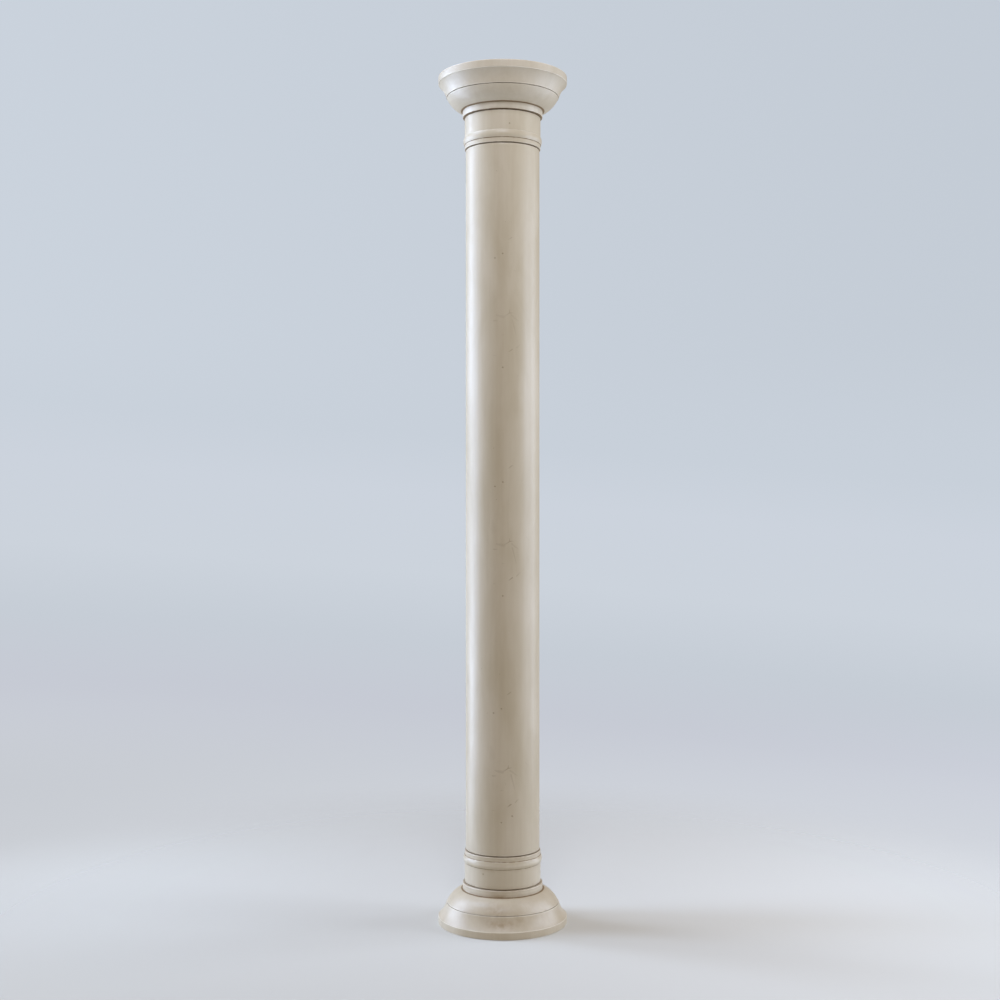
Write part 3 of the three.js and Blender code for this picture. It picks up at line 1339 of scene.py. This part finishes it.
# Soft brown patches on the front of the base: partly stain, partly painted shade where little light reaches
# the front of its mouldings.
BASE_STAINS_AND_SHADE = (
    StainAndShade(0.0, 0.047, 12.0, 0.015, 1.15),
    StainAndShade(-10.0, 0.052, 7.0, 0.010, 0.9),
    StainAndShade(14.0, 0.058, 9.0, 0.010, 0.5),
    StainAndShade(-5.0, 0.088, 12.0, 0.018, 0.8),
    StainAndShade(-4.0, 0.124, 12.0, 0.006, 1.1),
    StainAndShade(-12.0, 0.136, 9.0, 0.008, 0.35))
# Bands painted paler: painted light on the base's fillet, a painted highlight on the lower bead, and
# painted light lifting the shade that the ovolo casts on the capital's fillet.
BASE_FILLET_PAINTED_LIGHT = (PaintedLightBand(0.1345, 0.009, 0.4),)
LOW_BEAD_PAINTED_HIGHLIGHT = (PaintedLightBand(0.2293, 0.009, 0.6),)
CAPITAL_FILLET_PAINTED_LIGHT = (PaintedLightBand(2.866, 0.012, 0.65),)


@dataclass
class Column:
    """The whole column: five stones, one on another, each in its own piece of limestone."""

    sizes: Sizes = field(default_factory=Sizes)
    flaws: FlawedFace = FlawedFace()
    lone_pit: Pit = Pit(14.2, 0.401)
    strewn_pits: int = 22
    strewn_bearings: Point = (75, 285)
    strewn_widths: Point = (0.0028, 0.0045)
    strewn_depths: Point = (0.0008, 0.0014)
    strewn_margin: float = 0.08
    least_margin: float = 0.03
    seed: int = 7

    def shaft_pits(self) -> tuple[Pit, ...]:
        """Gathers the pits of the flawed patches, and strews a few more over the hidden side.

        Returns:
            The pits, none too near an end of the shaft.
        """
        low, high = (corner.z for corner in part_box("shaft"))
        draw = random.Random(self.seed)
        pits: list[Pit] = []
        for patch in self.flaws.patches:
            pits.extend(patch.pits(self.sizes.shaft, self.flaws.holes))
        pits.append(self.lone_pit)
        for _ in range(self.strewn_pits):
            bearing = draw.uniform(*self.strewn_bearings)
            height = draw.uniform(low + self.strewn_margin, high - self.strewn_margin)
            width = draw.uniform(*self.strewn_widths)
            pits.append(Pit(bearing, height, width, draw.uniform(*self.strewn_depths)))
        return tuple(pit for pit in pits if low + self.least_margin < pit.height < high - self.least_margin)

    def build(self) -> list[bpy.types.Object]:
        """Makes the five stones, from the ground up.

        Returns:
            The stones' objects.
        """
        effects = StoneEffects()
        built = []
        for stone, finish in (
            (EndStone("base", hollow_soil=Soil.CAVETTO, stains_and_shade=BASE_STAINS_AND_SHADE, painted_light_bands=BASE_FILLET_PAINTED_LIGHT,
                      stain_share=0.4, dirt_share=0.8),
             Limestone("limestone_base", (3.1, 0.4, 1.7), tone_and_light=BASE_TONE_AND_SHEEN, roughness=0.37)),
            (Necking("lower_necking", pits=(Pit(-30.3, 0.197),), painted_light_bands=LOW_BEAD_PAINTED_HIGHLIGHT, stain_share=0.35,
                     dirt_share=0.85),
             Limestone("limestone_lower_necking", (5.2, 2.6, 0.3), tone_and_light=NECKING_TONE_AND_SHEEN, roughness=0.34)),
            (Shaft("shaft", pits=self.shaft_pits()),
             Limestone("limestone_shaft", (0.0, 0.0, 0.0), flaws=self.flaws)),
            (Necking("upper_necking", upside_down=True, neck_crease=Soil.CLEAN_LEDGE,
                     pits=(Pit(10.0, 2.805),)),
             Limestone("limestone_upper_necking", (1.4, 4.8, 2.2))),
            (EndStone("capital", upside_down=True, painted_light_bands=CAPITAL_FILLET_PAINTED_LIGHT, stain_share=0.1,
                      dirt_share=1.25),
             Limestone("limestone_capital", (6.3, 3.3, 4.1), tone_and_light=CAPITAL_TONE_AND_COOL_LIGHT)),
        ):
            built.append(stone.build(finish.material(effects, self.sizes.shaft)))
        return built


def main() -> None:
    """Builds the column, then the studio round it."""
    logging.basicConfig(level=logging.INFO, format="%(message)s")
    stones = Column().build()
    Studio().build()
    log.info("%d stones stand %.3f m high", len(stones), CAD_BOX[1].z - CAD_BOX[0].z)


if __name__ == "__main__":
    main()
